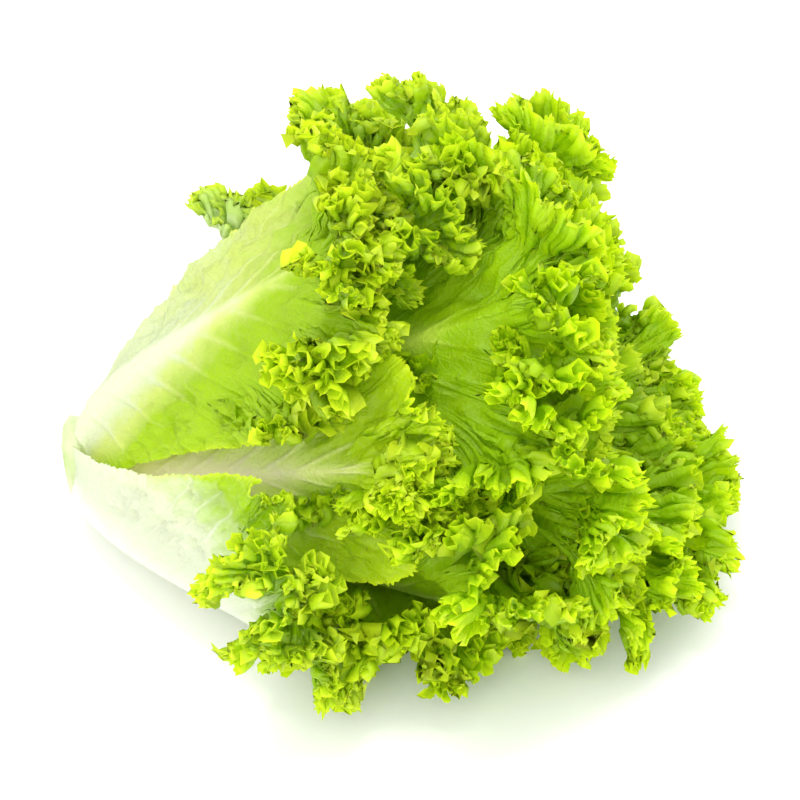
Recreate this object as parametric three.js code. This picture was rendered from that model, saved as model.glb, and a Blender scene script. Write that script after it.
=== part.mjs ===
// A head of frilly leaf lettuce lying on its side, in millimetres, +Z up.
//
// The cut stem lies towards -X and the leaf tips fan out towards +X. Each leaf is its own thin solid that
// starts at the stem. The leaves are set round the stem at the golden angle, the outermost first, as they
// grow. Every leaf lies in a layer of its own, and the layers are nested cones that open away from the
// stem's axis, so no two leaves cross. The side that lies on the table opens less, and is pressed flat there.
import * as THREE from "three";

// The stem.
const STEM_LENGTH = 78;
const STEM_RADIUS = 20;
const STEM_TIP_RADIUS = 3;
const STEM_AXIS_HEIGHT = 28; // of the cut face's centre above the table
const AXIS_TILT = THREE.MathUtils.degToRad(10); // the stem's axis rises towards the tips

// The leaves.
const LEAF_COUNT = 26;
const GOLDEN_ANGLE = THREE.MathUtils.degToRad(-137.5);
const FIRST_LEAF_ANGLE = THREE.MathUtils.degToRad(-98); // from straight up, towards the back
const INNERMOST_LAYER = 0.06; // 0 would be a leaf along the stem's axis, 1 is the outermost leaf
const FIRST_LEAF_ALONG = 5; // where the outermost leaf leaves the stem, from the cut face
const LAST_LEAF_ALONG = 70;
const STEM_GAP = 1.2;

const OUTER_LENGTH = 172;
const MIDDLE_LENGTH = 236;
const HEART_LENGTH = 130;
const OUTER_FOOT_SHARE = 0.26; // half the width of a leaf's foot, as a share of its length
const HEART_FOOT_SHARE = 0.08;
const BLADE_WIDTH_SHARE = 0.325;
// One of the outer leaves grew narrower than the rest and is folded like a boat.
const NARROW_LEAF = 6;
const NARROW_SHARE = 0.6;
const RIB_LENGTH_SHARE = 0.74;
const BLADE_THICKNESS = 0.8;
const RIB_THICKNESS = 2.4; // added on the outside of the leaf, at its foot

// How far the layers open, from the stem's axis, on each side of the head.
const OPEN_UP = THREE.MathUtils.degToRad(36);
const OPEN_SIDE = THREE.MathUtils.degToRad(44);
const OPEN_DOWN = THREE.MathUtils.degToRad(16);
const START_UP = THREE.MathUtils.degToRad(72);
const START_DOWN = THREE.MathUtils.degToRad(31);
const START_REACH = 26; // the length over which a leaf bends from its first direction to the layer's

const TABLE_SOFTNESS = 6; // how gently a leaf bends as it meets the table
const PRESSED = 0.6; // how far the weight of the head presses a leaf's outer face flat on the table
const MOST_SWEEP = THREE.MathUtils.degToRad(12); // how far round the head a leaf's tip drifts from its foot
const FIRST_SWEEP = THREE.MathUtils.degToRad(50); // the drift goes from side to side as the leaves are counted
const SWEEP_STEP = THREE.MathUtils.degToRad(140);
const MOST_WRAP = THREE.MathUtils.degToRad(76); // how far round the head half a leaf may reach
const WAVE_LAYERS = 0.62; // the height of the margin's waves, in layers
const WAVES_PER_SIDE = 2.5;

// The mesh of one leaf.
const SIDE_COLUMNS = 8; // from the foot to the tip, on each side of the rib
const ROW_SHARES = [0, 0.14, 0.4, 0.66, 0.86, 1]; // from the rib to the margin
const PROFILE_STEPS = 24;

const axis = new THREE.Vector3(Math.cos(AXIS_TILT), 0, Math.sin(AXIS_TILT));
const up = new THREE.Vector3(-Math.sin(AXIS_TILT), 0, Math.cos(AXIS_TILT));
const back = new THREE.Vector3(0, 1, 0);

const { lerp, smoothstep } = THREE.MathUtils;

// The stem's radius at a distance from its cut face: a bulge, then a long taper.
function stemRadius(along) {
  const share = along / STEM_LENGTH;
  return lerp(STEM_RADIUS, STEM_TIP_RADIUS, Math.pow(share, 1.6));
}

// The layers' opening at an angle round the head, which is 0 straight up and half a turn at the table.
function opening(angle, upwards, sideways, downwards) {
  const height = Math.cos(angle);
  return height > 0
    ? lerp(sideways, upwards, height * height)
    : lerp(sideways, downwards, Math.pow(-height, 1.3));
}

// How far along the stem's axis and out from it a leaf of this layer is, at a length along the leaf.
function profile(layer, angle, length) {
  const open = opening(angle, OPEN_UP, OPEN_SIDE, OPEN_DOWN);
  const start = opening(angle, START_UP, START_UP, START_DOWN);
  const foot = lerp(FIRST_LEAF_ALONG, LAST_LEAF_ALONG, (1 - layer) / (1 - INNERMOST_LAYER));
  let along = foot;
  let out = stemRadius(foot) + STEM_GAP;
  const step = length / PROFILE_STEPS;
  for (let i = 0; i < PROFILE_STEPS; i++) {
    const here = (i + 0.5) * step;
    const direction = layer * (open + (start - open) * Math.exp(-here / START_REACH));
    along += Math.cos(direction) * step;
    out += Math.sin(direction) * step;
  }
  return { along, out };
}

// Keeps a height above the table, bending smoothly as it nears it.
function aboveTable(height) {
  return 0.5 * (height + Math.sqrt(height * height + TABLE_SOFTNESS * TABLE_SOFTNESS)) - PRESSED;
}

function inHead(along, out, angle) {
  const point = new THREE.Vector3(0, 0, STEM_AXIS_HEIGHT)
    .addScaledVector(axis, along)
    .addScaledVector(up, out * Math.cos(angle))
    .addScaledVector(back, out * Math.sin(angle));
  point.z = aboveTable(point.z);
  return point;
}

// A point of a flat leaf, across and along it, bent to where it lies in the head.
function bend(leaf, across, length, layerShift) {
  const ribOut = profile(leaf.layer, leaf.angle, Math.max(length, 0)).out;
  const wrap = MOST_WRAP * Math.tanh(across / ((ribOut + 4) * MOST_WRAP));
  const angle = leaf.angle + wrap + (leaf.sweep * length) / leaf.length;
  const { along, out } = profile(leaf.layer + layerShift, angle, length);
  return inHead(along, out, angle);
}

// Half of a flat leaf's outline, from its foot (0) to its tip (1): narrow at the foot, broad near the tip.
function outline(leaf, share) {
  const across =
    leaf.foot * (1 - share) + BLADE_WIDTH_SHARE * leaf.breadth * Math.sin(Math.PI * Math.pow(share, 1.6));
  return { across: across * leaf.length, length: leaf.length * Math.sin((Math.PI / 2) * share) };
}

// A point on the vein that runs from the rib (0) to the margin (1).
function alongVein(leaf, side, share, row) {
  const edge = outline(leaf, share);
  const ribEnd = RIB_LENGTH_SHARE * leaf.length * Math.pow(share, 1.2);
  return { across: side * edge.across * row, length: lerp(ribEnd, edge.length, row) };
}

// How many layers out of its own the wavy margin of a leaf swings.
function waveAt(leaf, side, share, row) {
  const phase = 2 * Math.PI * WAVES_PER_SIDE * share + leaf.phase + side;
  return (WAVE_LAYERS / LEAF_COUNT) * Math.sin(phase) * Math.pow(row, 3) * smoothstep(share, 0.1, 0.5);
}

// The rib stands out from the outside of the leaf. It is thick at the foot and thins out towards the tip, and
// the small leaves of the heart have thin ribs.
function ribAt(leaf, share, row) {
  const thickness = RIB_THICKNESS * Math.min(1, Math.pow(leaf.length / OUTER_LENGTH, 3));
  return thickness * Math.pow(1 - share, 0.8) * Math.exp(-Math.pow(row / 0.3, 2));
}

// The two faces of the leaf at one place: the outside, which carries the rib, and the inside.
function facesAt(leaf, side, share, row) {
  const { across, length } = alongVein(leaf, side, share, row);
  const shift = waveAt(leaf, side, share, row);
  const reach = 0.5;
  const middle = bend(leaf, across, length, shift);
  const acrossLeaf = bend(leaf, across + reach, length, shift).sub(bend(leaf, across - reach, length, shift));
  const alongLeaf = bend(leaf, across, length + reach, shift).sub(bend(leaf, across, length - reach, shift));
  const outward = alongLeaf.cross(acrossLeaf).normalize();
  const outside = middle.clone().addScaledVector(outward, BLADE_THICKNESS / 2 + ribAt(leaf, share, row));
  const inside = middle.clone().addScaledVector(outward, -BLADE_THICKNESS / 2);
  outside.z = Math.max(outside.z, 0);
  inside.z = Math.max(inside.z, outside.z > 0 ? 0 : BLADE_THICKNESS);
  return { outside, inside };
}

// A closed solid over a grid of places: columns from one side of the foot round the tip to the other side
// of the foot, and rows from the rib to the margin. The two halves meet along the rib.
function leafGeometry(leaf) {
  const columns = [];
  for (let c = -SIDE_COLUMNS; c <= SIDE_COLUMNS; c++) {
    const side = c < 0 ? -1 : 1;
    const share = 1 - Math.abs(c) / SIDE_COLUMNS;
    columns.push(ROW_SHARES.map((row) => facesAt(leaf, c === 0 ? 0 : side, share, row)));
  }
  const positions = [];
  const triangle = (a, b, c) => positions.push(...a.toArray(), ...b.toArray(), ...c.toArray());
  const quad = (a, b, c, d) => {
    triangle(a, b, c);
    triangle(a, c, d);
  };
  const lastRow = ROW_SHARES.length - 1;
  for (let c = 0; c < columns.length - 1; c++) {
    const here = columns[c];
    const next = columns[c + 1];
    for (let r = 0; r < lastRow; r++) {
      quad(here[r].outside, here[r + 1].outside, next[r + 1].outside, next[r].outside);
      quad(here[r].inside, next[r].inside, next[r + 1].inside, here[r + 1].inside);
    }
    quad(here[lastRow].outside, here[lastRow].inside, next[lastRow].inside, next[lastRow].outside);
  }
  const first = columns[0];
  const last = columns[columns.length - 1];
  for (let r = 0; r < lastRow; r++) {
    quad(first[r].outside, first[r].inside, first[r + 1].inside, first[r + 1].outside);
    quad(last[r].outside, last[r + 1].outside, last[r + 1].inside, last[r].inside);
  }
  return new THREE.BufferGeometry().setAttribute("position", new THREE.Float32BufferAttribute(positions, 3));
}

// The leaves from the outermost in: short and pale at the heart, longest in the middle of the head.
function leafPlan(index) {
  const inwards = index / (LEAF_COUNT - 1);
  const length =
    inwards < 0.4
      ? lerp(OUTER_LENGTH, MIDDLE_LENGTH, Math.pow(inwards / 0.4, 1.5))
      : lerp(MIDDLE_LENGTH, HEART_LENGTH, Math.pow((inwards - 0.4) / 0.6, 1.5));
  return {
    angle: FIRST_LEAF_ANGLE + index * GOLDEN_ANGLE,
    layer: lerp(1, INNERMOST_LAYER, inwards),
    length,
    foot: lerp(OUTER_FOOT_SHARE, HEART_FOOT_SHARE, inwards),
    breadth: lerp(1, 0.62, inwards) * (index === NARROW_LEAF - 1 ? NARROW_SHARE : 1),
    sweep: MOST_SWEEP * Math.sin(FIRST_SWEEP + index * SWEEP_STEP),
    phase: index * 2.4,
  };
}

function leafName(index) {
  const part = index < 9 ? "outer" : index < 18 ? "middle" : "heart";
  return part + "_leaf_" + String((index % 9) + 1);
}

function leafMaterial(index) {
  const green = new THREE.Color(0x8fbf1d);
  const pale = new THREE.Color(0xd9e68c);
  return new THREE.MeshStandardMaterial({
    color: green.lerp(pale, index / LEAF_COUNT),
    roughness: 0.45,
    metalness: 0,
    side: THREE.DoubleSide,
  });
}

// The cut stem: a flat cut face, a rounded shoulder and a taper to the growing point, which ends on the axis.
function stemMesh() {
  const outlinePoints = [new THREE.Vector2(0, 0), new THREE.Vector2(STEM_RADIUS - 2.5, 0)];
  const bands = 7;
  for (let i = 0; i <= bands; i++) {
    const along = lerp(2.5, STEM_LENGTH - 2, i / bands);
    outlinePoints.push(new THREE.Vector2(stemRadius(along), along));
  }
  outlinePoints.push(new THREE.Vector2(0, STEM_LENGTH));
  const mesh = new THREE.Mesh(
    new THREE.LatheGeometry(outlinePoints, 20),
    new THREE.MeshStandardMaterial({ color: 0xeef0dc, roughness: 0.5, metalness: 0 }),
  );
  mesh.name = "stem";
  mesh.position.z = STEM_AXIS_HEIGHT;
  mesh.quaternion.setFromUnitVectors(new THREE.Vector3(0, 1, 0), axis);
  return mesh;
}

const head = new THREE.Group();
head.add(stemMesh());
for (let index = 0; index < LEAF_COUNT; index++) {
  const leaf = new THREE.Mesh(leafGeometry(leafPlan(index)), leafMaterial(index));
  leaf.name = leafName(index);
  head.add(leaf);
}

// The origin is on the table, under the middle of the head.
const extent = new THREE.Box3().setFromObject(head, true);
const middle = extent.getCenter(new THREE.Vector3());
head.position.set(-middle.x, -middle.y, -extent.min.z);

export default head;
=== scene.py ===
# A head of frilly green leaf lettuce, freshly cut and laid on its side on a pale table.
# The cut stem lies to the left and the leaves fan out to the right. The scene is in metres. The head's own
# sizes are in millimetres until they become points.
import math
from types import SimpleNamespace

import bpy
import numpy as np
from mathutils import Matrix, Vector


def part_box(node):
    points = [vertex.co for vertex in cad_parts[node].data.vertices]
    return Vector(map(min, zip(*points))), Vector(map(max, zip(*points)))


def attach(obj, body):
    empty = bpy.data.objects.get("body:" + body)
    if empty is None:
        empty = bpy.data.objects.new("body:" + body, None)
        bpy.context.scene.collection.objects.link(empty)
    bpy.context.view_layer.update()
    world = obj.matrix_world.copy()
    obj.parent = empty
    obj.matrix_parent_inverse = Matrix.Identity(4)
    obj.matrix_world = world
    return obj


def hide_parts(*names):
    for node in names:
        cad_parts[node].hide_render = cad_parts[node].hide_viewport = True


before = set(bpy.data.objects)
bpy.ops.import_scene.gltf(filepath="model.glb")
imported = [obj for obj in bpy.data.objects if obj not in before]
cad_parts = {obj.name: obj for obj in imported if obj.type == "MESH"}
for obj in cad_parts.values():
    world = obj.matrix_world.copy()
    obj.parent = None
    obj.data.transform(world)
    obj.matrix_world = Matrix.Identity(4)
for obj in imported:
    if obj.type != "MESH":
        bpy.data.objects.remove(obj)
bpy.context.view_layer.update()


# ----------------------------------------------------------------------------------------------------------
# The table: a smooth matt white board, far larger than the head, so that none of its edges shows.
# It is there to take the head's soft shadow, and isn't part of the head.
TABLE_HALF_SIDE = 6.0


def linear(hex_colour):
    """An sRGB hex colour as the linear colour that a shader takes."""
    parts = [int(hex_colour[i : i + 2], 16) / 255 for i in (1, 3, 5)]
    return tuple(p / 12.92 if p <= 0.04045 else ((p + 0.055) / 1.055) ** 2.4 for p in parts) + (1.0,)


def add_node(tree, kind, inputs=None, **settings):
    """Adds a node. An input is a value, or another node's output socket to link it to."""
    node = tree.nodes.new(kind)
    for name, value in settings.items():
        setattr(node, name, value)
    for key, value in (inputs or {}).items():
        if isinstance(value, bpy.types.NodeSocket):
            tree.links.new(value, node.inputs[key])
        else:
            node.inputs[key].default_value = value
    return node


def new_material(name):
    """An empty node material, and its tree."""
    material = bpy.data.materials.new(name)
    material.use_nodes = True
    material.node_tree.nodes.clear()
    return material, material.node_tree


low, high = -TABLE_HALF_SIDE, TABLE_HALF_SIDE
table_mesh = bpy.data.meshes.new("table")
table_mesh.from_pydata([(low, low, 0), (high, low, 0), (high, high, 0), (low, high, 0)], [], [(0, 1, 2, 3)])
table = bpy.data.objects.new("table", table_mesh)
bpy.context.collection.objects.link(table)

# White laminate: even and matt, so that the shadow has no glare in it.
laminate, tree = new_material("white_laminate")
board = add_node(tree, "ShaderNodeBsdfPrincipled", {"Base Color": linear("#F7F7F6"), "Roughness": 0.7})
add_node(tree, "ShaderNodeOutputMaterial", {"Surface": board.outputs["BSDF"]})
table_mesh.materials.append(laminate)


# ----------------------------------------------------------------------------------------------------------
# The stem: the short butt that the leaves grow from, cut across when the head was harvested.
# It is juicy white tissue, ridged where the outermost leaves were pulled off, and browns a little on the cut.
MM = 0.001
STEM_LENGTH, STEM_RADIUS, STEM_TIP_RADIUS = 78, 20, 3
STEM_RIM, STEM_RIM_OUT = 2.5, 2.4  # the rounding from the cut face to the side, along the stem and out
STEM_AXIS_HEIGHT = 28  # of the cut face's middle above the table
AXIS_TILT = math.radians(10)

axis = np.array([math.cos(AXIS_TILT), 0, math.sin(AXIS_TILT)])
up = np.array([-math.sin(AXIS_TILT), 0, math.cos(AXIS_TILT)])
back = np.array([0.0, 1.0, 0.0])


def mix(a, b, share):
    """From a to b as the share goes from 0 to 1."""
    return a + (b - a) * share


def ramp(value, low, high):
    """0 below low, 1 above high, smooth between."""
    share = np.clip((value - low) / (high - low), 0, 1)
    return share * share * (3 - 2 * share)


def stem_radius(along):
    """At a distance from the cut face: a bulge, then a long taper."""
    return mix(STEM_RADIUS, STEM_TIP_RADIUS, np.clip(along / STEM_LENGTH, 0, 1) ** 1.6)


# The cut face's centre, from the frame: the top of the leaning face's rim is the stem's leftmost point.
stem_low, stem_high = (np.array(corner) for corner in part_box("stem"))
cut_centre = np.array(
    [
        stem_low[0] + (STEM_RADIUS - STEM_RIM) * MM * math.sin(AXIS_TILT),
        (stem_low[1] + stem_high[1]) / 2,
        STEM_AXIS_HEIGHT * MM,
    ]
)


def stem_point(along, out, angle):
    """A point of the head in metres, from its distances along the stem's axis and out from it."""
    along, out, angle = np.broadcast_arrays(along, out, angle)
    upwards, backwards = (out * np.cos(angle))[..., None] * up, (out * np.sin(angle))[..., None] * back
    return cut_centre + (along[..., None] * axis + upwards + backwards) * MM


def wobble(places, seed):
    """A smooth random value from -1 to 1 that changes once for each unit of the place."""
    values = np.random.default_rng(seed).uniform(-1, 1, 1024)
    low = np.floor(places).astype(int)
    share = places - low
    share = share * share * (3 - 2 * share)
    return mix(values[low % 1024], values[(low + 1) % 1024], share)


def patches(across, along, seed):
    """The same in two directions: soft random patches, one to each unit square."""
    values = np.random.default_rng(seed).uniform(-1, 1, (64, 64))
    low_a, low_b = np.floor(across).astype(int), np.floor(along).astype(int)
    a, b = across - low_a, along - low_b
    a, b = a * a * (3 - 2 * a), b * b * (3 - 2 * b)
    near = mix(values[low_a % 64, low_b % 64], values[(low_a + 1) % 64, low_b % 64], a)
    far = mix(values[low_a % 64, (low_b + 1) % 64], values[(low_a + 1) % 64, (low_b + 1) % 64], a)
    return mix(near, far, b)


def corners(grid):
    """The four corners of each of a grid's cells, in order round the cell."""
    return np.stack([grid[:-1, :-1], grid[:-1, 1:], grid[1:, 1:], grid[1:, :-1]], 2)


def mesh_piece(name, points, number, point_values, map_places):
    """A smooth mesh object from a grid of points, with named values per point and its unwrapped map.

    Each point has a number. Where two edges of the grid are joined, they share their points' numbers.
    """
    used, faces = np.unique(corners(number), return_inverse=True)
    mesh = bpy.data.meshes.new(name)
    mesh.vertices.add(len(used))
    mesh.vertices.foreach_set("co", points.reshape(-1, 3)[used].astype(np.float32).ravel())
    mesh.loops.add(faces.size)
    mesh.loops.foreach_set("vertex_index", faces.astype(np.int32).ravel())
    mesh.polygons.add(faces.size // 4)
    mesh.polygons.foreach_set("loop_start", np.arange(0, faces.size, 4, dtype=np.int32))
    mesh.polygons.foreach_set("use_smooth", np.ones(faces.size // 4, bool))
    for label, values in point_values.items():
        kind, field = ("FLOAT_VECTOR", "vector") if values.ndim == 3 else ("FLOAT", "value")
        values = values.reshape(number.size, -1)[used].astype(np.float32)
        mesh.attributes.new(label, kind, "POINT").data.foreach_set(field, values.ravel())
    unwrapped = mesh.uv_layers.new(name="OFBake")
    unwrapped.data.foreach_set("uv", corners(map_places).astype(np.float32).ravel())
    mesh.update(calc_edges=True)
    mesh.validate()
    piece = bpy.data.objects.new(name, mesh)
    bpy.context.collection.objects.link(piece)
    return piece


# The stem's surface in rings: the cut face from its middle out, the rounded rim, then the side to the tip.
face_rings, rim_rings, side_rings, spokes = 26, 5, 60, 120
across_face = np.linspace(0.02, 1, face_rings) * (STEM_RADIUS - STEM_RIM)
round_rim = np.linspace(0, np.pi / 2, rim_rings + 2)[1:-1]
along_side = STEM_RIM + (STEM_LENGTH - STEM_RIM) * np.linspace(0, 1, side_rings) ** 1.2
rim_out = STEM_RADIUS - STEM_RIM + STEM_RIM_OUT * np.sin(round_rim)
ring_out = np.concatenate([across_face, rim_out, stem_radius(along_side)])
ring_along = np.concatenate([np.zeros(face_rings), STEM_RIM - STEM_RIM * np.cos(round_rim), along_side])
ring_on_face = np.concatenate([across_face / STEM_RADIUS, np.ones(rim_rings + side_rings)])
ring, turn = np.meshgrid(np.arange(len(ring_out)), np.linspace(0, 2 * np.pi, spokes + 1), indexing="ij")
out, along, on_face = ring_out[ring], ring_along[ring], ring_on_face[ring]

# The knife leaves a slightly torn face. The side keeps shallow scars of the leaves that were pulled off.
torn = 0.5 * patches(out * np.cos(turn) / 2.2 + 30, out * np.sin(turn) / 2.2 + 30, 5)
torn += 0.25 * patches(out * np.cos(turn) / 0.9 + 30, out * np.sin(turn) / 0.9 + 30, 6)
scars = 0.9 * np.abs(np.sin(1.5 * turn + 0.45 * along)) ** 3 + 0.5 * patches(turn * 4 + 9, along / 4, 7)
scars *= ramp(along, 0.5, 3)
along = along + np.where(on_face < 1, torn, 0) * ramp(out, 0, 3)
out = out * (1 + 0.03 * np.cos(2 * turn + 0.6) + 0.02 * np.cos(3 * turn)) + scars * np.minimum(1, out / 8)

number = np.arange(ring.size).reshape(ring.shape)
number[:, -1] = number[:, 0]
stem = mesh_piece(
    "cut_stem",
    stem_point(along, out, turn),
    number,
    {"cut": 1 - ramp(on_face, 0.9, 1.0), "ring": out / STEM_RADIUS},
    np.stack([turn / (2 * np.pi), ring / (len(ring_out) - 1)], -1),
)

# Cut lettuce stem: moist white pith with a soft gloss, inside a pale green rind. It has gone a little tan in
# a ring where the milky sap dried.
# A colour mix takes its two colours at its inputs 6 and 7, and gives the mixed one at its output 2.
pith, tree = new_material("cut_lettuce_stem")
cut = add_node(tree, "ShaderNodeAttribute", attribute_name="cut").outputs["Fac"]
ring_place = add_node(tree, "ShaderNodeAttribute", attribute_name="ring").outputs["Fac"]
position = add_node(tree, "ShaderNodeTexCoord").outputs["Object"]
fibre = add_node(tree, "ShaderNodeTexNoise", {"Vector": position, "Scale": 1 / (2.5 * MM), "Detail": 5.0})
blotch = add_node(tree, "ShaderNodeTexNoise", {"Vector": position, "Scale": 1 / (11 * MM), "Detail": 3.0})
rind = add_node(tree, "ShaderNodeValToRGB", {"Fac": blotch.outputs["Fac"]})
stops = rind.color_ramp.elements
stops[0].position, stops[0].color = 0.35, linear("#C6CFA4")
stops[1].position, stops[1].color = 0.75, linear("#A2B872")
cut_face = add_node(tree, "ShaderNodeValToRGB", {"Fac": ring_place})
stops = cut_face.color_ramp.elements
stops[0].position, stops[0].color = 0.3, linear("#EFE9D2")
stops[1].position, stops[1].color = 0.8, linear("#D8D2A4")
stops.new(0.62).color = linear("#CDB98A")
colours = {0: cut, 6: rind.outputs["Color"], 7: cut_face.outputs["Color"]}
colour = add_node(tree, "ShaderNodeMix", colours, data_type="RGBA").outputs[2]
bump_inputs = {"Height": fibre.outputs["Fac"], "Strength": 0.35, "Distance": 0.6 * MM}
bump = add_node(tree, "ShaderNodeBump", bump_inputs).outputs["Normal"]
skin_inputs = {"Base Color": colour, "Roughness": 0.42, "Normal": bump, "IOR": 1.38}
skin = add_node(tree, "ShaderNodeBsdfPrincipled", skin_inputs)
add_node(tree, "ShaderNodeOutputMaterial", {"Surface": skin.outputs["BSDF"]})
stem.data.materials.append(pith)
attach(stem, "root")
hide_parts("stem")


# ----------------------------------------------------------------------------------------------------------
# The leaves: thin crisp blades on a thick white rib, set round the stem in a spiral, the outermost first.
# Towards its margin a blade has grown faster than it had room for, so it folds into frills on frills, with
# small sharp teeth along the edge. The side of the head that lies on the table is pressed together.
LEAF_COUNT = 26
LEAVES_IN_GROUP = 9
GOLDEN_ANGLE = math.radians(-137.5)
FIRST_LEAF_ANGLE = math.radians(-98)
INNERMOST_LAYER = 0.06  # the outermost is 1, and the stem's own axis would be 0
FIRST_LEAF_ALONG, LAST_LEAF_ALONG = 5, 70  # where the leaves grow from the stem
OUTER_LENGTH, MIDDLE_LENGTH, HEART_LENGTH = 172, 236, 130
OUTER_FOOT_SHARE, HEART_FOOT_SHARE = 0.26, 0.08  # half the width of a leaf's foot, as a share of its length
BLADE_WIDTH_SHARE, RIB_LENGTH_SHARE = 0.325, 0.74
# The outermost layer's angles from the axis: at first, and after the leaf has bent over its start reach.
START_UP, START_DOWN, START_REACH = math.radians(72), math.radians(31), 26
OPEN_UP, OPEN_SIDE, OPEN_DOWN = math.radians(36), math.radians(44), math.radians(16)
MOST_WRAP = math.radians(76)  # how far round the head each half of a blade can reach
# How far round the head a leaf's tip drifts from its foot, one way or the other.
MOST_SWEEP, FIRST_SWEEP, SWEEP_STEP = math.radians(12), math.radians(50), math.radians(140)
TABLE_SOFTNESS, PRESSED = 6, 0.6  # how gradually a leaf meets the table, and how far it is pressed down
HALF_BLADE = 0.4  # half a blade's thickness, which is as low as the middle of a leaf can lie
MARGIN_ROWS = 29
HEART_COLUMNS_PER_MM, OUTER_COLUMNS_PER_MM = 4.0, 7.2  # the finer grid is for the leaves whose frills show
VEIN_COUNT = 8
LOBE_WIDTH = 34
TOOTH_SPACING, TOOTH_LENGTH = 2.9, 4.3


def profile(layer, angle, length):
    """How far along the axis and out from it a leaf of a layer is, at a length along the leaf."""
    height = np.cos(angle)
    down = np.abs(height) ** 1.3
    opening = np.where(height > 0, mix(OPEN_SIDE, OPEN_UP, height**2), mix(OPEN_SIDE, OPEN_DOWN, down))
    start = np.where(height > 0, START_UP, mix(START_UP, START_DOWN, down))
    along = mix(FIRST_LEAF_ALONG, LAST_LEAF_ALONG, (1 - layer) / (1 - INNERMOST_LAYER))
    out = stem_radius(along) - 1.0  # the foot starts 1 mm inside the stem's skin
    steps = 24
    for i in range(steps):
        here = (i + 0.5) * length / steps
        direction = layer * (opening + (start - opening) * np.exp(-here / START_REACH))
        along = along + np.cos(direction) * length / steps
        out = out + np.sin(direction) * length / steps
    return along, out


def directions_of(points):
    """The unit directions along the margin, towards the margin and out of the leaf's outer face."""

    def unit(vectors):
        return vectors / np.maximum(np.linalg.norm(vectors, axis=-1, keepdims=True), 1e-12)

    along_margin = np.gradient(points, axis=0)
    outwards = np.gradient(points, axis=1)
    normal = unit(np.cross(outwards, along_margin))
    normal[:, 0] = unit(normal[:, 0] + normal[::-1, 0])
    return unit(along_margin), unit(outwards), normal


def laid_flat(leaf, shares):
    """A leaf before it is bent: columns round its margin at shares of each side, by rows from the rib out."""
    fine = np.linspace(0, 1, 2000)
    blade_width = BLADE_WIDTH_SHARE * leaf.breadth * np.sin(np.pi * fine**1.6)
    half = (leaf.foot * (1 - fine) + blade_width) * leaf.length
    reach = leaf.length * np.sin(np.pi / 2 * fine)
    walked = np.concatenate([[0], np.cumsum(np.hypot(np.diff(half), np.diff(reach)))])
    side = np.sign(np.arange(1 - len(shares), len(shares)))[:, None]
    share = np.concatenate([shares, shares[-2::-1]])[:, None]
    row = (1 - (1 - np.linspace(0, 1, MARGIN_ROWS)) ** 1.35)[None, :]
    edge_across = np.interp(share, fine, half) * side
    edge_ahead = np.interp(share, fine, reach)
    rib_end = RIB_LENGTH_SHARE * leaf.length * share**1.2
    # Veins leave the rib steeply and bend out towards the margin.
    across = edge_across * row
    ahead = mix(rib_end, edge_ahead, row**0.9)
    blade_depth = np.hypot(edge_across, edge_ahead - rib_end)
    # There are hardly any frills near the foot, and on each side they start where that leaf's do.
    start_of_frills = np.where(side < 0, *leaf.frills_from)
    frilly_share = ramp(share, start_of_frills, np.minimum(start_of_frills + 0.22, 1))
    return SimpleNamespace(
        share=share,
        row=row,
        across=across,
        ahead=ahead,
        station=ahead / leaf.length,
        blade_depth=blade_depth,
        inward=blade_depth * (1 - row),
        margin_length=walked[-1],
        from_tip=np.broadcast_to(side * (walked[-1] - np.interp(share, fine, walked)), across.shape),
        frilly_share=frilly_share,
        frilly=leaf.frill * (0.1 * ramp(share, 0.03, 0.12) + 0.9 * frilly_share) * ramp(row, 0.0, 0.5),
    )


def bent_to_layer(leaf, flat):
    """The flat leaf wrapped round its layer of the head, and pressed softly onto the table."""
    middle_out = profile(leaf.layer, leaf.angle, flat.ahead)[1]
    around = MOST_WRAP * np.tanh(flat.across / ((middle_out + 4) * MOST_WRAP))
    turned = leaf.angle + around + leaf.sweep * flat.ahead / leaf.length
    along, out = profile(leaf.layer, turned, flat.ahead)
    points = stem_point(along, out, turned)
    height = points[..., 2] / MM
    softened = 0.5 * (height + np.sqrt(height**2 + TABLE_SOFTNESS**2))
    points[..., 2] = (softened - PRESSED + HALF_BLADE) * MM
    return points


def with_collar(leaf, flat, points):
    """The blade's outer part bent out like a collar, here more and there less. By the table it bends up."""
    lift = ramp(points[..., 2] / MM, 12, 60)
    folds = 2 * np.pi * (flat.from_tip / 40 + 0.5 * wobble(flat.from_tip / 60 + 400, leaf.seed + 8))
    folded = 1.25 * leaf.frill * mix(0.35, 1.0, lift) * np.cos(folds)
    angle = flat.frilly_share * (leaf.collar * mix(-0.7, 1.0, lift) + folded)
    angle = np.where(np.abs(angle) < 0.05, 0.05, angle)
    width = np.minimum(0.27 * leaf.length, 0.75 * flat.blade_depth)
    beyond = np.clip(width - flat.inward, 0, None)
    turned = angle * beyond / width
    drawn_back = width / angle * np.sin(turned) - beyond
    rise = width / angle * (1 - np.cos(turned))
    _, outwards, normal = directions_of(points)
    return points + (drawn_back[..., None] * outwards + rise[..., None] * normal) * MM


def spaced_evenly(leaf, shares, points):
    """The shares that space the columns evenly along the bent margin, and closer together where it frills."""
    sides = len(shares) - 1
    stretch = np.linalg.norm(np.diff(points[:, -1], axis=0), axis=1)
    measured = np.concatenate([[0], np.cumsum(stretch[:sides] + stretch[sides:][::-1])])
    measured = measured + 0.25 * measured[-1] * ramp(shares, min(leaf.frills_from), 1)
    return np.interp(np.linspace(0, measured[-1], len(shares)), measured, shares)


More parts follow.
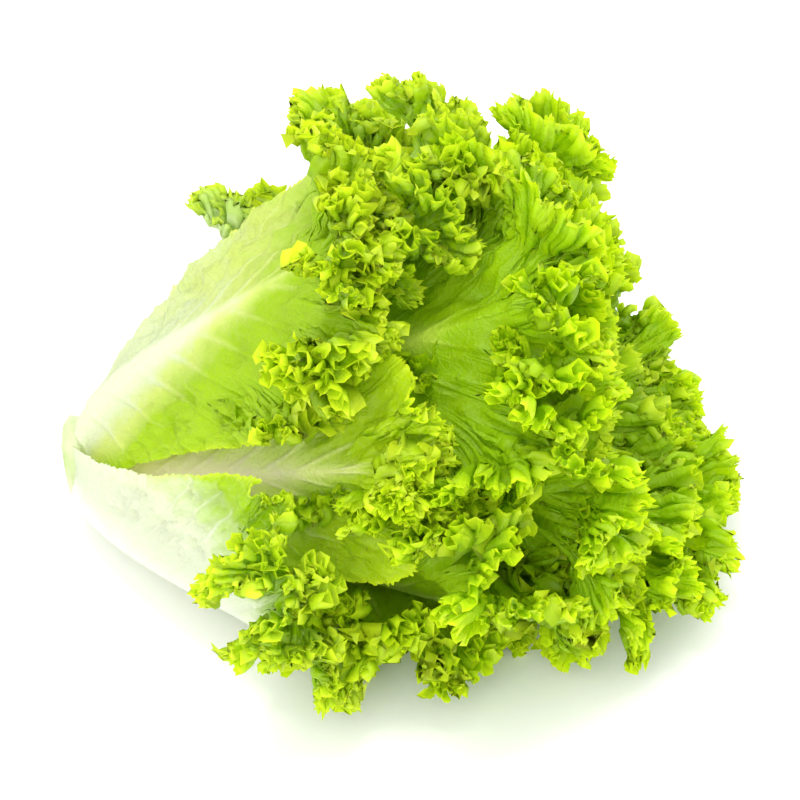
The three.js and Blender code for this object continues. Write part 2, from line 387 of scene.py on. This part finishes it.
def with_veins(leaf, flat, points):
    """The rib and the side veins stood out of the outer face, the blade puckered and creased between them."""
    rib_width = mix(0.062, 0.012, np.clip(flat.station / 0.8, 0, 1)) * leaf.length
    rib = np.exp(-((flat.across / rib_width) ** 2)) * np.clip(1 - flat.station / 0.95, 0, 1) ** 0.8
    jitter = wobble(np.sign(flat.from_tip) * 3 + flat.share * 3 + 50, leaf.seed + 3)
    vein_place = flat.share * VEIN_COUNT + 0.3 * jitter
    beside_vein = np.abs(vein_place - np.round(vein_place)) / VEIN_COUNT * flat.margin_length
    beside_vein = beside_vein * (0.35 + 0.65 * flat.row)
    vein = np.exp(-((beside_vein / mix(1.6, 0.7, flat.row)) ** 2)) * (1 - 0.6 * flat.row)
    vein = vein * ramp(flat.row, 0.02, 0.12)

    def bumps(width, length, step):
        return patches(flat.across / width + 30, flat.ahead / length, leaf.seed + step)

    pucker = bumps(13, 13, 4) + 0.7 * bumps(5, 8, 5) + 0.3 * bumps(2.4, 4, 9)
    creases = 1.3 * np.abs(bumps(8, 13, 11)) + 0.7 * np.abs(bumps(4, 6, 12))
    pucker = pucker - creases * ramp(flat.inward, 8, 20)
    blade = ramp(flat.row, 0.08, 0.4) * ramp(flat.station, 0.08, 0.4)
    groove = 1.6 * np.exp(-((beside_vein / 5) ** 2)) * blade
    relief = 0.027 * leaf.length * rib + 0.9 * vein + 2.6 * pucker * blade - groove
    _, _, normal = directions_of(points)
    return points + (relief * MM)[..., None] * normal, rib, vein


def walk(points):
    """How far each column's place on the margin is from the leaf's tip, along the margin as it now lies."""
    steps = np.linalg.norm(np.diff(points[:, -1], axis=0), axis=1) / MM
    walked = np.concatenate([[0], np.cumsum(steps)])
    return np.broadcast_to((walked - walked[len(walked) // 2])[:, None], points.shape[:2])


def with_lobes(leaf, flat, points):
    """The margin cut into broad lobes by narrow clefts."""
    lobe_number = walk(points) / LOBE_WIDTH + 0.4 * wobble(flat.from_tip / 15 + 400, leaf.seed + 6)
    cleft = (2 * np.abs(lobe_number - np.floor(lobe_number) - 0.5)) ** 3
    cleft = cleft * (0.6 + 0.5 * wobble(flat.from_tip / 14 + 400, leaf.seed + 7))
    near_edge = np.exp(-((flat.inward / (0.12 * leaf.length)) ** 2))
    cut = -0.11 * leaf.length * cleft * flat.frilly * near_edge
    _, outwards, _ = directions_of(points)
    return points + (cut * MM)[..., None] * outwards


def ruffled(points, inward, length, height, depth, lean, unrest, seed):
    """The blade folded to and fro: one wave for each length, dying out over the depth from the margin."""
    waves = walk(points) / length
    phase = 2 * np.pi * (waves + 0.6 * wobble(waves * 0.6 + 400, seed))
    phase += unrest * patches(waves * 0.7 + 30, inward / (1.2 * length) + 9, seed + 1)
    size = (0.8 + 0.5 * wobble(waves * 0.8 + 400, seed + 2)) * np.exp(-((inward / depth) ** 1.6))
    along_margin, _, normal = directions_of(points)
    swing = (height * size * np.cos(phase))[..., None] * normal
    return points + (swing + (lean * size * np.sin(2 * phase))[..., None] * along_margin) * MM


def with_frills(leaf, flat, points):
    """The margin thrown into frills on frills: large waves, middle ones on them and small ones on those."""
    strength = flat.frilly * ramp(flat.row, 0.2, 0.75)
    # Each kind of wave has a length, height, depth from the margin, sideways lean, unrest and seed step.
    for wave_length, height, depth, lean, unrest, step in (
        (16.5, 5.8, 0.15 * leaf.length, 2.7, 1.8, 20),
        (6.8, 3.0, 0.08 * leaf.length, 1.5, 1.8, 30),
        (3.7, 1.3, 7, 0.7, 1.0, 50),
    ):
        height, lean = height * strength, lean * strength
        points = ruffled(points, flat.inward, wave_length, height, depth, lean, unrest, leaf.seed + step)
    return points


def with_teeth(leaf, flat, points):
    """The edge run out every few millimetres to a sharp point that bends to one side."""
    walked = walk(points)
    tooth_number = walked / TOOTH_SPACING + 0.5 * wobble(walked / 7 + 400, leaf.seed + 40)
    tooth = 1 - 2 * np.abs(tooth_number - np.floor(tooth_number) - 0.5)
    size = TOOTH_LENGTH * (0.65 + 0.6 * wobble(walked / 5 + 400, leaf.seed + 41))
    size = size * ramp(flat.share, 0.05, 0.3)
    # On the plain stretches of the margin there are teeth only here and there.
    on_plain = 0.35 * (1 + wobble(walked / 11 + 400, leaf.seed + 44)) * (1 - flat.frilly_share)
    size = size * (0.2 + on_plain + 0.8 * flat.frilly_share)
    at_edge = np.exp(-((flat.inward / 2.0) ** 1.5))
    _, outwards, normal = directions_of(points)
    points = points + ((tooth * size * at_edge)[..., None] * outwards) * MM
    hook = 1.8 * wobble(walked / 8 + 400, leaf.seed + 42) * at_edge * flat.frilly
    return points + (hook * MM)[..., None] * normal


def kept_on_table(leaf, points):
    """Nothing sinks into the table: what would is pressed flat, one layer on the next."""
    rest = HALF_BLADE + 6 * (1 - leaf.layer)
    height = points[..., 2] / MM
    squeezed = 0.06 * np.tanh((height - rest) / 10) * rest
    points[..., 2] = (rest + np.where(height > rest, height - rest, squeezed)) * MM
    return points


def leaf_piece(leaf):
    """The leaf's object, from the flat leaf to its teeth, with the values that its colour uses."""
    columns_per_mm = mix(HEART_COLUMNS_PER_MM, OUTER_COLUMNS_PER_MM, ramp(leaf.layer, 0.2, 0.5))
    shares = np.linspace(0, 1, round(columns_per_mm * leaf.length) + 1)
    flat = laid_flat(leaf, shares)
    points = with_collar(leaf, flat, bent_to_layer(leaf, flat))
    # Bent once more, with its columns spaced by the margin that the first bending made.
    flat = laid_flat(leaf, spaced_evenly(leaf, shares, points))
    points = with_collar(leaf, flat, bent_to_layer(leaf, flat))
    points, rib, vein = with_veins(leaf, flat, points)
    points = with_frills(leaf, flat, with_lobes(leaf, flat, points))
    points = kept_on_table(leaf, with_teeth(leaf, flat, points))
    values = {
        "station": flat.station - leaf.paler_side * flat.across / (0.3 * leaf.length),
        "row": np.broadcast_to(flat.row, rib.shape),
        "rim": np.exp(-flat.inward / 2.4) * ramp(flat.station, 0.25, 0.75),
        "rib": rib,
        "vein": vein,
        "flat": np.stack([flat.across * MM, flat.ahead * MM, np.zeros_like(flat.across)], -1),
    }

    # The two halves are joined along the rib, where their first rows are the same points.
    columns, rows = rib.shape
    number = np.arange(rib.size).reshape(rib.shape)
    number[columns // 2 + 1 :, 0] = number[: columns // 2, 0][::-1]
    map_grid = np.meshgrid(np.linspace(0.002, 0.998, columns), np.linspace(0.004, 0.996, rows), indexing="ij")
    piece = mesh_piece(leaf.name, points, number, values, np.stack(map_grid, -1))
    piece.data.materials.append(leaf.material)
    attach(piece, "root")
    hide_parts(leaf.name)


def leaf_material(name, foot, pale, blade, edge, glow, pallor=0.0):
    """Crisp leaf tissue: waxy, a little glossy and lit through, white at the rib and green at the edge."""
    material, tree = new_material(name)

    flat = add_node(tree, "ShaderNodeAttribute", attribute_name="flat").outputs["Vector"]
    station, row, rim, rib, vein = (
        add_node(tree, "ShaderNodeAttribute", attribute_name=label).outputs["Fac"]
        for label in ("station", "row", "rim", "rib", "vein")
    )
    # Broad patches of tone, 26 mm across, a mottling of 4 mm in them, and a skin grain of 1.6 mm.
    noises = []
    for size, detail in ((26, 3.0), (4, 4.0), (1.6, 3.0)):
        noise_inputs = {"Vector": flat, "Scale": 1 / (size * MM), "Detail": detail}
        noises.append(add_node(tree, "ShaderNodeTexNoise", noise_inputs).outputs["Fac"])
    broad, fine, grain = noises
    # Greenness grows from the foot and the rib towards the tip and the margin.
    green = station
    weights = ((row, 0.42), (broad, 0.42), (fine, 0.16), (rib, -0.35), (vein, -0.16), (pallor, -1.0))
    for part, weight in weights:
        weighed = {0: part, 1: weight, 2: green}
        green = add_node(tree, "ShaderNodeMath", weighed, operation="MULTIPLY_ADD").outputs[0]
    tone = add_node(tree, "ShaderNodeValToRGB", {"Fac": green})
    stops = tone.color_ramp.elements
    stops[0].position, stops[0].color = 0.5, linear(foot)
    stops[1].position, stops[1].color = 1.0, linear(blade)
    stops.new(0.74).color = linear(pale)
    # The veins' net: cells about 3 mm wide between the side veins, their lines a little paler.
    cell_inputs = {"Vector": flat, "Scale": 1 / (3.2 * MM)}
    cells = add_node(tree, "ShaderNodeTexVoronoi", cell_inputs, feature="DISTANCE_TO_EDGE")
    net_inputs = {0: cells.outputs["Distance"], 1: 0.0, 2: 0.12, 3: 1.0, 4: 0.0}
    net = add_node(tree, "ShaderNodeMapRange", net_inputs).outputs[0]
    paler = add_node(tree, "ShaderNodeMath", {0: net, 1: 0.1}, operation="MULTIPLY").outputs[0]
    netted = {0: paler, 6: tone.outputs["Color"], 7: linear(pale)}
    colour = add_node(tree, "ShaderNodeMix", netted, data_type="RGBA").outputs[2]
    at_rim = add_node(tree, "ShaderNodeMath", {0: rim, 1: 0.95}, operation="MULTIPLY").outputs[0]
    rimmed = {0: at_rim, 6: colour, 7: linear(edge)}
    colour = add_node(tree, "ShaderNodeMix", rimmed, data_type="RGBA").outputs[2]
    # Relief finer than the mesh: the net of veins, and the dimpled skin between.
    relief = grain
    for part, weight in ((net, 0.35), (fine, 1.2)):
        weighed = {0: part, 1: weight, 2: relief}
        relief = add_node(tree, "ShaderNodeMath", weighed, operation="MULTIPLY_ADD").outputs[0]
    bump_inputs = {"Height": relief, "Strength": 0.75, "Distance": 0.5 * MM}
    bump = add_node(tree, "ShaderNodeBump", bump_inputs).outputs["Normal"]
    gloss = add_node(tree, "ShaderNodeMapRange", {0: fine, 1: 0.3, 2: 0.7, 3: 0.36, 4: 0.52}).outputs[0]
    skin_inputs = {"Base Color": colour, "Roughness": gloss, "Normal": bump, "IOR": 1.42}
    skin = add_node(tree, "ShaderNodeBsdfPrincipled", skin_inputs).outputs["BSDF"]
    # Light comes through the blade, and less of it through the thick rib.
    lit = add_node(tree, "ShaderNodeMix", {0: 0.5, 6: colour, 7: linear(glow)}, data_type="RGBA").outputs[2]
    through = add_node(tree, "ShaderNodeBsdfTranslucent", {"Color": lit, "Normal": bump}).outputs["BSDF"]
    thin = add_node(tree, "ShaderNodeMapRange", {0: rib, 1: 0.0, 2: 0.6, 3: 0.42, 4: 0.2}).outputs[0]
    leaf = add_node(tree, "ShaderNodeMixShader", {0: thin, 1: skin, 2: through}).outputs["Shader"]
    add_node(tree, "ShaderNodeOutputMaterial", {"Surface": leaf})
    return material


# Each material's colours are those of the foot, the pale lower blade, the green blade, the rim of the frills,
# and the light that comes through. A pallor keeps a leaf pale for further from its foot.
outer = leaf_material("outer_lettuce_leaf", "#E6EBCC", "#DFF07C", "#ACD40A", "#E6FA28", "#DEFA08")
middle = leaf_material("middle_lettuce_leaf", "#E2E9C0", "#D6EE58", "#A8D208", "#E4FA24", "#DAF806")
heart = leaf_material("heart_lettuce_leaf", "#E8EEC6", "#E2F470", "#B2DC14", "#E8FA3C", "#E2FA28")
# The faces that grew in the shade of other leaves are close to white, and one rib has a faint pink flush.
white = leaf_material("white_faced_lettuce_leaf", "#ECEFE0", "#F3F7E0", "#ACD40A", "#E8FA30", "#E2FA28", 0.34)
pale = leaf_material("pale_faced_lettuce_leaf", "#DCE4C0", "#D4E27A", "#A8CE0A", "#E8FA2C", "#DEF418", 0.08)
flushed = leaf_material("flushed_lettuce_leaf", "#F0E0D4", "#EEF2A0", "#BCDC10", "#E8FA28", "#DEF80C", 0.14)

# Outer leaves that grew differently from the rest. Frills start on each side at a share of the way from the
# foot to the tip, and a collar is how far the blade's outer part bends out. The third leaf is paler towards
# one side, and the sixth is narrow and folded like a boat.
leaves_apart = {
    "outer_leaf_1": {"frills_from": (0.6, 0.6), "material": white},
    "outer_leaf_3": {
        "frills_from": (0.42, 0.62),
        "collar": 0.15,
        "stretch": 1.04,
        "paler_side": 0.42,
        "material": pale,
    },
    "outer_leaf_5": {"frills_from": (0.24, 0.5), "material": white},
    "outer_leaf_6": {"frills_from": (0.76, 0.8), "collar": 0.1, "narrowed": 0.6, "material": flushed},
    "outer_leaf_8": {"frills_from": (0.46, 0.46), "material": white},
}

groups = (("outer_leaf", outer), ("middle_leaf", middle), ("heart_leaf", heart))
for index in range(LEAF_COUNT):
    inwards = index / (LEAF_COUNT - 1)
    if inwards < 0.4:
        length = mix(OUTER_LENGTH, MIDDLE_LENGTH, (inwards / 0.4) ** 1.5)
    else:
        length = mix(MIDDLE_LENGTH, HEART_LENGTH, ((inwards - 0.4) / 0.6) ** 1.5)
    angle = FIRST_LEAF_ANGLE + index * GOLDEN_ANGLE
    group, material = groups[min(index // LEAVES_IN_GROUP, 2)]
    name = f"{group}_{index % LEAVES_IN_GROUP + 1}"
    apart = leaves_apart.get(name, {})
    # Frills add to a leaf's reach, so the upper leaves are a little shorter than the lower ones.
    stretch = apart.get("stretch", mix(0.95, 1.04, ramp(-math.cos(angle), 0.3, 0.9)))
    leaf_piece(
        SimpleNamespace(
            name=name,
            group=group,
            material=apart.get("material", material),
            angle=angle,
            sweep=MOST_SWEEP * math.sin(FIRST_SWEEP + index * SWEEP_STEP),
            layer=mix(1.0, INNERMOST_LAYER, inwards),
            length=stretch * length,
            foot=mix(OUTER_FOOT_SHARE, HEART_FOOT_SHARE, inwards),
            breadth=mix(1.0, 0.62, inwards) * apart.get("narrowed", 1),
            frill=mix(1.0, 0.5, inwards),
            frills_from=apart.get("frills_from", (0.24, 0.24)),
            collar=apart.get("collar", mix(0.8, 0.3, inwards)),
            paler_side=apart.get("paler_side", 0.0),
            seed=100 * (index + 1),
        )
    )


# ----------------------------------------------------------------------------------------------------------
# The light: a bright white studio. A soft lamp hangs over the head, a broad one stands in front to the left,
# and one behind on the right lights the leaves through. The camera stands in front and looks down.
LAMP_AIM = (0, 0, 0.08)
CAMERA_ELEVATION, CAMERA_DISTANCE = math.radians(38), 1.0

world = bpy.data.worlds.new("studio")
world.use_nodes = True
surround = world.node_tree.nodes["Background"].inputs
surround["Color"].default_value = (1, 1, 1, 1)
surround["Strength"].default_value = 1.3
bpy.context.scene.world = world


def soft_lamp(name, place, size, power):
    """A square lamp that shines at the middle of the head."""
    lamp = bpy.data.lights.new(name, "AREA")
    lamp.size = size
    lamp.energy = power
    stand = bpy.data.objects.new(name, lamp)
    stand.location = place
    stand.rotation_euler = (Vector(LAMP_AIM) - Vector(place)).to_track_quat("-Z", "Y").to_euler()
    bpy.context.collection.objects.link(stand)


soft_lamp("key_lamp", (-0.2, -0.1, 1.6), 0.45, 8)
soft_lamp("front_lamp", (-0.3, -1.3, 1.0), 1.0, 10)
soft_lamp("back_lamp", (0.9, 1.2, 1.3), 0.8, 6)

camera = bpy.data.cameras.new("camera")
camera.sensor_width = 36
camera.lens = 110
camera.clip_start = 0.05
watcher = bpy.data.objects.new("camera", camera)
towards = Vector((0.0, -math.cos(CAMERA_ELEVATION), math.sin(CAMERA_ELEVATION)))
watcher.location = Vector((0.003, 0.0, 0.066)) + towards * CAMERA_DISTANCE
watcher.rotation_euler = (-towards).to_track_quat("-Z", "Y").to_euler()
bpy.context.collection.objects.link(watcher)
bpy.context.scene.camera = watcher
bpy.context.scene.view_settings.view_transform = "Standard"
